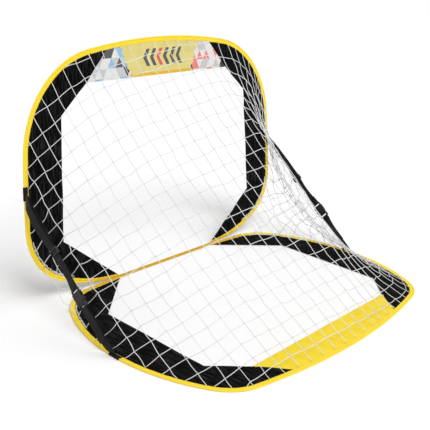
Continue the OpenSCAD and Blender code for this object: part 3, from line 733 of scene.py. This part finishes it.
# the ends begin along a saw-toothed line that leans in towards the hem
teeth = calculate(tree, "PINGPONG", place_q, tooth)
edge_p = scaled(tree, calculate(tree, "SUBTRACT", place_q, top_hem_q), 0.45, ends_from)
at_end = below(calculate(tree, "ADD", edge_p, teeth), calculate(tree, "ABSOLUTE", place_p))
ink = mixed(tree, at_end, field, ends)
height = use(tree, weave, cloth, 2200)[0]
blotch, speck = soiled(tree)
gap = calculate(tree, "SUBTRACT", 1.0, height)
dull = scaled(tree, gap, 0.12, calculate(tree, "MULTIPLY", blotch, 0.1))
rough = scaled(tree, speck, 0.2, 0.5)
dress(tree, shader, mixed(tree, dull, ink, colour(120, 112, 90)), rough, height, 0.5, 0.09 * MM)

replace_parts(far_panel("top_cloth", upright_arcs, on_upright, "upright", print_cloth,
                      upright_seam_x, upright_corners[0], 70), "upright_top_panel")
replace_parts(hem("top_fold", on_upright, top_hem_half_w, top_hem_q, print_cloth, "upright", 71), "top_hem")

# ---------------------------------------------------------------- net
# One knotted net of 38 mm squares spans both hoops. Its cords run from the upright's seam to the base's,
# and the rows across them keep their distance from the middle of each cord, so they run out at the seams
# where the hoops come together. It bows out a little, except towards its left end, where it is drawn in.
mesh_size = 38 * MM
cord_r = 0.85 * MM
cord_up = (0.3, 0.5, 0.81)
net_inset = 11.5 * MM
net_lift = 1.7 * MM
net_end = half_length(upright_arcs) - 95 * MM
first_row = -5 * MM
first_column = 302 * MM
right_widening, right_widening_at = 128 * MM, 571.4 * MM
left_widening, left_side_at = 0.8, -500 * MM
row_widening, row_lift, row_tilt = 0.14, 0.06, 0.3
tilt_range = (-400 * MM, 170 * MM)
middle_bow, bow_slope, most_bow = 21 * MM, 0.09, 30 * MM
full_cord = 870 * MM
drawn_in = 154 * MM
flat_share = 0.43
side_pull = 160 * MM
cord_lean = 0.05
cord_curl, curl_slope, most_curl = 0.40, 0.75, 0.55
knot_wander = 1.3 * MM
side_slack, drawn_slack = 2.2, 1.4
droop_share = 0.04
# where along the hoop each of these begins, and over what length it grows: the cords' spread down the
# sides, the net's drawing in and its end, the pull to the side and its end, and the knots' slack
spreading, drawing_in, drawing_end, pulling, pulling_end, slackening = np.array(
    [(250, 650), (70, 360), (-720, 200), (100, 200), (-950, 450), (450, 350)]) * MM
net_cord = spun("net_cord", (250, 250, 250), (178, 178, 182), 700, 0.6)
rng = np.random.default_rng(5)


def grown(s, start, length):
    """0 up to a start, 1 from a length past it, and 3 t squared - 2 t cubed between, with t from 0 to 1."""
    t = np.clip((s - start) / length, 0, 1)
    return t * t * (3 - 2 * t)


def net_ends(s):
    """Where the cord at a distance s along the upright's edge starts and ends: on the base, on the upright.
    Down the sides it spreads over the base's longer edge."""
    extra = half_length(base_arcs) - half_length(upright_arcs)
    on_floor = s + np.sign(s) * extra * grown(np.abs(s), *spreading)
    low, high = along_hoop(base_arcs, on_floor, net_inset)[0], along_hoop(upright_arcs, s, net_inset)[0]
    return on_base(low[..., 0], low[..., 1], net_lift), on_upright(high[..., 0], high[..., 1], net_lift)


def net_bow(s, chord, far):
    """How far the cord at s bows out from a straight line at its middle, where far is the line's distance
    from the hinge edge. It bows more towards the left, and by the square of its length. From 70 mm left of
    the middle on it is drawn in, but never so far that it would lie flat on both hoops."""
    outward = np.minimum(middle_bow - bow_slope * s, most_bow) * (chord / full_cord) ** 2
    inward = drawn_in * grown(-s, *drawing_in) * grown(s, *drawing_end)
    return np.maximum(outward - inward, -flat_share * far)


def net_frame(s):
    """The line between both seams at s: its middle, its unit direction to the base and away from the hinge
    edge, its length, its bow, half the length of the bowed cord, L/2 (1 + (4 bow / L) squared / 6), and
    its distance from the hinge edge."""
    low, high = net_ends(s)
    middle = (low + high) / 2
    chord = np.linalg.norm(low - high, axis=-1)
    away = middle * [0, 1, 1] - [0, hinge_y, hinge_z]
    far = np.linalg.norm(away, axis=-1)
    bow = net_bow(s, chord, far)
    half_cord = chord / 2 * (1 + (4 * bow / chord) ** 2 / 6)
    return middle, (low - high) / chord[..., None], away / far[..., None], chord, bow, half_cord, far


def drift(s, d):
    """Where the cord at s has wandered to at a distance d from its middle: it leans to the left towards the
    base, and curls left towards both seams by d squared, more so further left."""
    return s - cord_lean * d - np.clip(cord_curl - curl_slope * s, 0, most_curl) * d ** 2


def net_place(s, d):
    """The net at a distance s along the hoops and d along the bowed cord from its middle, towards the base.
    t goes from -1 to 1 between the seams. The cord stands out by bow (1 - t squared), and at the left it
    also swings round to the side by the side pull times (1 - t squared)."""
    s, d = np.broadcast_arrays(s, d)
    chord, bow = net_frame(s)[3:5]
    x = d
    for _ in range(4):
        x = d / (1 + (8 * bow * x / chord ** 2) ** 2 / 6)
    t = np.clip(2 * x / chord, -1, 1)
    swing = side_pull * grown(-s, *pulling) * grown(s, *pulling_end)
    middle, way, away, chord, bow = net_frame(drift(s, d) - swing * (1 - t * t))[:5]
    return middle + way * (t * chord / 2)[..., None] + away * (bow * (1 - t * t))[..., None]


# the squares are even, but at the right end each column is twice as much further out as the one before,
# and down the left side they are wider, because most of the net's rows end there
columns = first_column + mesh_size * np.arange(-27, 9)
columns = (columns + right_widening * 2 ** ((columns - right_widening_at) / mesh_size)
           + left_widening * np.minimum(columns - left_side_at, 0))
columns = np.concatenate([[-net_end], columns, [net_end]])
rows = first_row + mesh_size * np.arange(-12, 13)
low, high = net_ends(columns)
bow, reach, far = net_frame(columns)[4:]
drawn_share = np.clip(-bow / far / 0.46, 0, 1)
slack = (1 + side_slack * grown(np.abs(columns), *slackening)
         + drawn_slack * drawn_share * (columns < 0))
s_grid = columns[:, None] + rng.normal(0, knot_wander, (len(columns), len(rows))) * slack[:, None]
# the rows are a little wider apart towards the upright, and tilt towards it at the left
tilt = np.clip(columns - first_column, *tilt_range)[:, None]
row_at = rows - row_widening * rows ** 2 + (row_lift - row_tilt * rows) * tilt
d_grid = row_at + rng.normal(0, knot_wander, (len(columns), len(rows))) * slack[:, None]
s_grid[[0, -1]] = columns[[0, -1], None]
inside = np.abs(d_grid) < reach[:, None] - 7 * MM
loose = np.moveaxis(rng.normal(0, 0.7 * MM, (3, *inside.shape)), 0, -1)
knots = net_place(s_grid, d_grid) + loose * (slack[:, None, None] - 0.6) * inside[..., None]
knots[..., 2] = np.maximum(knots[..., 2], 2 * cord_r)


def link(a, b, share):
    """Cords from points a to points b in seven rings, hanging off the straight line by a droop times
    4 t (1 - t), but never below the floor. The droop is a random small share of the cord's length,
    mostly downward."""
    droop = rng.normal(0, 1, a.shape) * [0.6, 0.6, 0.5] - [0, 0, 0.6]
    droop = droop * np.linalg.norm(b - a, axis=1)[:, None] * droop_share * share
    t = np.linspace(0, 1, 7)[None, :, None]
    line = a[:, None] * (1 - t) + b[:, None] * t + droop[:, None] * 4 * t * (1 - t)
    line[..., 2] = np.maximum(line[..., 2], cord_r)
    return line


knot_shape = bmesh.new()
bmesh.ops.create_icosphere(knot_shape, subdivisions=1, radius=1)
knot_points = np.array([v.co for v in knot_shape.verts])
knot_faces = np.array([[v.index for v in f.verts] for f in knot_shape.faces])
knot_shape.free()


def knot_lumps(name, centres):
    """Small lumpy knots: each is a round form squeezed by a random share along each axis and turned."""
    size = cord_r * rng.uniform(1.35, 2.0, (len(centres), 1, 3))
    turn = np.linalg.qr(rng.normal(size=(len(centres), 3, 3)))[0]
    turn *= np.sign(np.linalg.det(turn))[:, None, None]
    lumps = centres[:, None] + np.einsum("nij,nkj->nki", turn, knot_points * size)
    faces = ((np.arange(len(centres)) * len(knot_points))[:, None, None] + knot_faces).reshape(-1, 3)
    # each face is given lengths of a metre, so the cord's twist shrinks to a fine grain on it
    return finished_mesh(name, lumps, faces.tolist(), np.tile([(0, 0), (1, 0), (1, 1)], (len(faces), 1)))


# the net is made in strips, narrow where its cords' lengths differ most, because each folds in its own way
starts = [*range(7), 8, 10, 12, 14, 16, 19, 22, 25, 27, 29, *range(31, 38)]
for number, (a, b) in enumerate(zip(starts, starts[1:]), 1):
    lines = []
    own = range(a if a == 0 else a + 1, b + 1)
    for i in own:
        edge_low, edge_high = net_ends(drift(columns[i], reach[i] * np.array([1, -1])))
        points = np.concatenate([edge_high[1:], knots[i, inside[i]], edge_low[:1]])
        lines.append(link(points[:-1], points[1:], slack[i]))
    for i in range(a, b):
        both = inside[i] & inside[i + 1]
        lines.append(link(knots[i, both], knots[i + 1, both], slack[i]))
        # a row that runs out between two cords is sewn to the seam where it meets it
        for j in np.flatnonzero(inside[i] ^ inside[i + 1]):
            inner, outer = (i, i + 1) if inside[i, j] else (i + 1, i)
            at = row_at[inner, j]
            share = np.clip((reach[inner] - abs(at)) / (reach[inner] - reach[outer]), 0.05, 1)
            seams = net_ends(drift(columns[inner] + (columns[outer] - columns[inner]) * share, at))
            lines.append(link(knots[inner, [j]], seams[0 if at > 0 else 1][None], slack[i]))
    name = f"net_strip_{number:02d}"
    mesh = tubes(name, np.concatenate(lines), cord_r, up=cord_up)
    made_here = [add_piece(name, mesh, None, net_cord)]
    if number == 1:
        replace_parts(made_here[0], "net")
    centres = np.concatenate([knots[i, inside[i]] for i in own])
    if len(centres):
        lumps = knot_lumps(name + "_knots", centres)
        made_here.append(add_piece(name + "_knots", lumps, None, net_cord))
    for made in made_here:
        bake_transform(made)


gathers_from, gathers_to = 330 * MM, 150 * MM
gathers_inset = 15.6 * MM
gathers_lift = 1.05 * MM
gathers_r = 0.62 * MM


def gathers(name, arcs, place, body, side, seed):
    """The net's surplus beside a sleeve, where the hoops come together: two cords that wander in and out
    and back and forth by random waves, so that they make small loops."""
    s = half_length(arcs) - np.linspace(gathers_from, gathers_to, 420)
    lines = []
    for cord in (0, 1):
        out, back, up = (ripple(s, 3.0, spacing * MM, seed + 3 * cord + k)
                         for k, spacing in enumerate((15, 12, 20)))
        spots = along_hoop(arcs, (s + back * 7 * MM) * side, gathers_inset + 1.8 * MM * out)[0]
        lines.append(place(spots[:, 0], spots[:, 1], gathers_lift + 0.15 * MM * up))
    mesh = tubes(name, np.array(lines), gathers_r, up=cord_up)
    add_piece(name, mesh, body, net_cord)


for side, label in both_sides:
    gathers(f"{label}_upright_gathers", upright_arcs, on_upright, "upright", side, 120 + side)
    gathers(f"{label}_base_gathers", base_arcs, on_base, "base", side, 140 + side)

# ---------------------------------------------------------------- straps
# Two black webbing straps hold the goal open. Each runs outside the net from a sewn anchor on the base
# to one on the upright, through a side-release buckle and a slider, with a slack loop above the slider.
strap_low = np.array([474.758, 29.3836, 1.75]) * MM
strap_high = np.array([459.494, -290.445, 262.684]) * MM
strap_l = float(np.linalg.norm(strap_high - strap_low))
webbing_w = 20 * MM
webbing_t = 1 * MM
bar_x = 2.3 * MM
plug_at = 122 * MM
tail_l = 84 * MM
slider_at = 262 * MM
socket_bar_at = 166 * MM
crease_at = strap_l / 2 + 9 * MM
sewn_in = 6 * MM
curve_from = 3.2 * MM
curve_l = 35 * MM
held_to = 4 * MM
free_from = 26 * MM
loop_h = 8 * MM
left_twist = math.radians(27)
right_twist = math.radians(6)
free_runs = np.array([[8, 112], [187, 250], [276, 404]]) * MM
twist_shares = np.array([1, 0.7, 1])
strap_rise = math.atan2(strap_high[2] - strap_low[2], strap_high[1] - strap_low[1])
strap_lean = math.asin((strap_low[0] - strap_high[0]) / strap_l)
strap_axes = np.array(Matrix.Rotation(strap_rise, 3, "X") @ Matrix.Rotation(strap_lean, 3, "Z"))


def in_strap(out, along, across, side):
    """A place on a strap: out from the goal, along from the lower anchor, across its width."""
    out, along, across = np.broadcast_arrays(out, along, across)
    return (strap_low + np.stack([out, along, across], -1) @ strap_axes.T) * [side, 1, 1]


# woven ribs in a herringbone: a rib's height is the sine of along plus a zigzag of across
webbing_cloth, tree, shader, cloth = material("webbing_cloth", 0.62, 0.04, 0.16)
place = node(tree, "SeparateXYZ", cloth).outputs
slanting = calculate(tree, "ADD", place[0], calculate(tree, "PINGPONG", place[1], 2.5 * MM))
rib = calculate(tree, "SINE", calculate(tree, "MULTIPLY", slanting, 2 * math.pi / (1.3 * MM)))
rib = scaled(tree, rib, 0.5, 0.5)
fine = use(tree, weave, cloth, 3000)[0]
blotch, speck = soiled(tree)
share = scaled(tree, blotch, 0.35, scaled(tree, rib, -0.4, 0.5))
black = mixed(tree, share, colour(32, 32, 34), colour(8, 8, 9))
rough = scaled(tree, speck, 0.25, 0.48)
dress(tree, shader, black, rough, scaled(tree, fine, 0.3, rib), 0.7, 0.25 * MM)


def strap_twist(along, side):
    """How far a strap's free runs turn about their own line: a bump of sine to the 0.6 between each two
    fittings. The left strap is twisted, and the right one nearly flat."""
    share = np.clip((along[:, None] - free_runs[:, 0]) / (free_runs[:, 1] - free_runs[:, 0]), 0, 1)
    most = right_twist if side > 0 else left_twist
    return (most * twist_shares * np.sin(share * math.pi) ** 0.6).sum(-1)


def beside(line):
    """The unit directions square to a flat line of points, to its right."""
    way = np.gradient(line, axis=0)
    way /= np.linalg.norm(way, axis=1, keepdims=True)
    return np.stack([way[:, 1], -way[:, 0]], -1)


def ribbon(name, path, side, seed, body, cuts=(0, 0)):
    """Webbing edge-on along a path of (out, along) points. Its section is a flat band with round edges, and
    the whole ribbon cups and sways a little across its width. cuts are the slopes of its two ends: how far
    an end runs on for each metre across, which fades over the next 30 mm."""
    length = walked(path)[-1]
    at = np.linspace(0, length, max(12, int(length / (1.2 * MM))))
    line = points_along(path, at)
    out = beside(line)[:, None]
    turn = np.linspace(0, math.pi, 5)[1:-1]
    half = webbing_w / 2 - webbing_t / 2
    face = np.linspace(-half, half, 9)
    rim = half + webbing_t / 2 * np.sin(turn)
    across = np.concatenate([face, rim, face[::-1], -rim])
    lift = webbing_t / 2 * np.concatenate([np.ones(9), np.cos(turn), -np.ones(9), -np.cos(turn)])
    lift = lift + (1 - (across / (webbing_w / 2)) ** 2) * 0.15 * MM
    sway = ripple(at, max(length, 0.3) * 2, 60 * MM, seed)[:, None] * 0.25 * MM
    fade = np.clip(1 - np.stack([at, length - at]) / (30 * MM), 0, 1)
    slope = (fade * np.array(cuts)[:, None]).sum(0)[:, None] * across
    twist = strap_twist(line[:, 1], side)[:, None]
    turned = np.sign(out[..., 0]) * np.sin(twist)
    rise = turned * across + lift * np.cos(twist)
    over = across * np.cos(twist) - turned * lift
    grid = in_strap(line[:, None, 0] + out[..., 0] * rise, line[:, None, 1] + out[..., 1] * rise + slope,
                    over + sway, side)
    made = swept(name, grid, at[:, None], np.append(across, across[0]), body, webbing_cloth)
    return made


def turn_round(at, way, points=14):
    """The half circle of webbing round a bar: it goes up over it, or down under it."""
    angle = np.linspace(math.pi, 0, points)
    return np.stack([bar_x + bar_x * np.cos(angle), at + way * bar_x * np.sin(angle)], -1)


# both ends are cut level with the hoop that they are sewn to: along = - across times the two slopes
way, wide = strap_axes[:, 1], strap_axes[:, 2]
upright_normal = np.array([0, -math.sin(open_angle), math.cos(open_angle)])
floor_cut = -wide[2] / way[2]
upright_cut = -(wide @ upright_normal) / (way @ upright_normal)
# near its ends the webbing curves in, by the square of its distance from the straight part, and is sewn
# on top of the band
near_end = np.linspace(0, 1, 10)
sewn_end = np.stack([-sewn_in * (1 - near_end) ** 2, curve_from + near_end * curve_l], -1)
top_end = (sewn_end * [1, -1] + [0, strap_l])[::-1]
def sewn(made, hoop, body, at, free_at, side):
    """Bakes a strap piece's transform into its mesh; the hoop and the body are not used, and the two places
    along the strap are worked out but not used.
    """
    start, end = (tuple(in_strap(0, along, 0, side)) for along in (at, free_at))
    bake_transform(made)


for side, label in both_sides:
    # lower webbing: up from the anchor, round the plug's bar, and its tail back down beside it
    tail = np.linspace(0, 1, 12)[1:, None]
    tail_end = np.array([3.4 * MM, plug_at - tail_l])
    down = np.array([2 * bar_x, plug_at]) * (1 - tail) + tail_end * tail
    down[:, 0] -= np.sin(tail[:, 0] * math.pi) * 1.4 * MM
    path = np.concatenate([sewn_end, [[0, plug_at - 2 * MM]], turn_round(plug_at, 1), down])
    lower = ribbon(f"{label}_lower_ribbon", path, side, 80 + side, None, (floor_cut, 0))
    sewn(lower, "base", f"{label}_lower_strap", held_to, free_from, side)
    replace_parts(lower, f"{label}_lower_webbing")
    # buckle webbing: from the crease down, round the socket's bar and a short way back up
    back = np.array([[2 * bar_x, socket_bar_at], [1.6 * bar_x, socket_bar_at + 8 * MM],
                     [1.3 * MM, socket_bar_at + 24 * MM]])
    above = [[0, crease_at], [0, socket_bar_at + 1 * MM]]
    path = np.concatenate([above, turn_round(socket_bar_at, -1), back])
    buckle = ribbon(f"{label}_buckle_ribbon", path, side, 84 + side, f"{label}_lower_strap")
    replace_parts(buckle, f"{label}_buckle_webbing")
    # upper webbing: from the crease to the anchor, with the slack loop on its outer face
    path = np.concatenate([[[0, crease_at], [0, slider_at]], top_end])
    upper = ribbon(f"{label}_upper_ribbon", path, side, 88 + side, None, (0, upright_cut))
    t = np.linspace(0, 1, 30)
    loop_out = 1.05 * MM + loop_h * np.sin(math.pi * t) ** 1.2 - sewn_in * np.clip(3.5 * t - 2.5, 0, 1) ** 2
    loop = np.stack([loop_out, slider_at - 6 * MM + (strap_l - slider_at + 2.6 * MM) * t], -1)
    slack_loop = ribbon(f"{label}_slack_ribbon", loop, side, 92 + side, None, (0, upright_cut))
    for made in (upper, slack_loop):
        sewn(made, "upright", f"{label}_upper_strap", strap_l - held_to, strap_l - free_from, side)
    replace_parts(upper, f"{label}_upper_webbing")

# ---------------------------------------------------------------- strap anchors
# At each strap end a short piece of the same webbing is folded over the sleeve's outer edge and sewn
# through. It is wider along the sleeve than the strap, because the strap meets the sleeve at a slant.
anchor_half_w = 15.3 * MM
anchor_back = 280 * MM
anchor_up = 263 * MM
anchor_fold = np.array([[10.4, 1.45], [8.5, 1.62], [6.0, 1.75], [4.4, 2.15], [3.0, 2.45], [1.6, 2.5],
                        [0.4, 2.2], [-0.5, 1.3], [-0.75, 0.2], [-0.7, -1.0]]) * MM
anchor_row = np.array([[9.3, 2.05], [7, 2.2], [4.9, 2.5]]) * MM


def anchor(end, arcs, place, body, q, side):
    """A folded webbing tab: its line of (inset, lift) points, thickened by half the webbing both ways,
    is swept along the sleeve."""
    name = end + "_tab"
    edge = np.linspace(0, half_length(arcs), 4000)
    middle = edge[np.argmin(np.hypot(*(along_hoop(arcs, edge)[0] - [arcs[2, 0] + arcs[2, 2], q]).T))]
    at = np.linspace(0, walked(anchor_fold)[-1], 26)
    line = points_along(anchor_fold, at)
    thick = beside(line) * webbing_t * 0.46
    section = np.concatenate([line + thick, (line - thick)[::-1]])
    s = middle + np.linspace(-anchor_half_w, anchor_half_w, 40)
    points, out = along_hoop(arcs, s * side)
    bulge = ripple(s, 1.0, 12 * MM, 7)[:, None] * 0.1 * MM
    grid = set_in(place, points[:, None], out[:, None], section[:, 0], section[:, 1] + bulge)
    walk = np.concatenate([at, at[::-1], at[:1]])
    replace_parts(swept(name, grid, walk, s[:, None], body, webbing_cloth), end + "_anchor")
    up = upward(place)
    for inset, lift in anchor_row[[0, 2]]:
        path = set_in(place, points[2:-2], out[2:-2], inset, lift)
        stitches(f"{name}_row_{inset / MM:.0f}", path, up, 2.6 * MM, body, black_thread)
    for k in (2, -3):
        path = set_in(place, points[k], out[k], anchor_row[:, 0], anchor_row[:, 1])
        stitches(f"{name}_end_{k % 7}", path, up, 2.2 * MM, body, black_thread)


for side, label in both_sides:
    anchor(label + "_lower", base_arcs, on_base, "base", anchor_back, side)
    anchor(label + "_upper", upright_arcs, on_upright, "upright", anchor_up, side)

# ---------------------------------------------------------------- hinge tape
# A narrow tape along the outside of the hinge edge covers the seam that joins both sleeves, with a
# zigzag row of stitches through it.
# the tape's deeper gold is partly its own colour and partly painted shade, for the shade that lies along
# the hinge line between the two sleeves
hinge_cloth_and_painted_shade = woven("hinge_cloth_and_painted_shade", (206, 164, 24), (160, 120, 12), 2600, 0.6, 0.15, 0.1 * MM)
tape_middle = np.mean(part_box("hinge_tape"), axis=0) * [0, 1, 1]
base_tube = on_base(0.0, tube_r, 0.0)
upright_tube = on_upright(0.0, tube_r, 0.0)
tape_way = (upright_tube - base_tube) / np.linalg.norm(upright_tube - base_tube)
tape_out = np.array([0, -tape_way[2], tape_way[1]])
tape_out *= np.sign(tape_out @ (tape_middle - (base_tube + upright_tube) / 2))


def on_tape(x, across, out):
    """A place on the tape: x along the hinge edge, across its width, out from the goal."""
    return tape_middle + x[..., None] * [1, 0, 0] + across[..., None] * tape_way + out * tape_out


x = np.linspace(-hinge_w / 2, hinge_w / 2, 300)[:, None]
turn = np.linspace(0, 2 * math.pi, 16, endpoint=False)
section = np.stack([np.cos(turn), np.sin(turn)], -1)
section = np.sign(section) * np.abs(section) ** 0.6 * [1.3 * MM, 0.2 * MM]
wave = ripple(x, 1.0, 14 * MM, 31) * 0.1 * MM
tape_grid = on_tape(x, section[:, 0] + wave, section[:, 1:])
tape_across = np.linspace(0, 5.6 * MM, 17)
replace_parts(swept("hinge_tape_cloth", tape_grid, x, tape_across, "base", hinge_cloth_and_painted_shade),
            "hinge_tape")
zig = np.arange(-hinge_w / 2 + 3 * MM, hinge_w / 2 - 3 * MM, 2.6 * MM)
swing = np.where(np.arange(len(zig)) % 2 == 0, 0.8, -0.8) * MM
zig_path = on_tape(zig, swing, 0.22 * MM)
zig_lines = zig_path[:-1, None] + np.diff(zig_path, axis=0)[:, None] * np.linspace(0, 1, 4)[None, :, None]
zigzag = tubes("hinge_zigzag", zig_lines, 0.2 * MM, 5, up=tape_out + 1e-6)
add_piece("hinge_zigzag", zigzag, "base", gold_thread)


# ---------------------------------------------------------------- wire, ferrules and buckles
# Spring-steel wire lies in both pockets, closed by a crimped ferrule at the hinge edge. The buckles and
# sliders are black acetal mouldings with a fine spark-eroded grain and slightly polished edges.
def metal(name, roughness, light, dark):
    """Bare metal, in blotches of two shades."""
    made, tree, shader = material(name, roughness, metallic=1.0)[:3]
    dress(tree, shader, mixed(tree, soiled(tree)[0], colour(*light), colour(*dark)))
    return made


def moulded(name, light, dark):
    """Moulded plastic: a fine grain from noise, with grey rubbed edges where the surface turns sharply."""
    made, tree, shader = material(name, 0.42, 0, 0.3)[:3]
    blotch, speck = soiled(tree)
    sharp = node(tree, "NewGeometry").outputs["Pointiness"]
    rubbed = node(tree, "MapRange", sharp, 0.52, 0.62, 0.0, 0.5).outputs[0]
    base = mixed(tree, blotch, colour(*light), colour(*dark))
    base = mixed(tree, rubbed, base, colour(44, 44, 46))
    dress(tree, shader, base, scaled(tree, speck, 0.3, 0.28), speck, 0.25, 0.1 * MM)
    return made


steel = metal("spring_steel", 0.32, (176, 178, 180), (120, 122, 126))
crimp = metal("crimp_metal", 0.42, (150, 150, 148), (104, 104, 104))
black_plastic = moulded("black_plastic", (16, 16, 17), (9, 9, 10))
finishes = {"wire": steel, "ferrule": crimp, "slider": black_plastic, "socket": black_plastic,
            "plug": black_plastic}
for name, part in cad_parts.items():
    finish = finishes.get(name.split("_")[-1])
    if finish:
        part.data.materials.clear()
        part.data.materials.append(finish)

# ---------------------------------------------------------------- finish
bpy.context.view_layer.update()
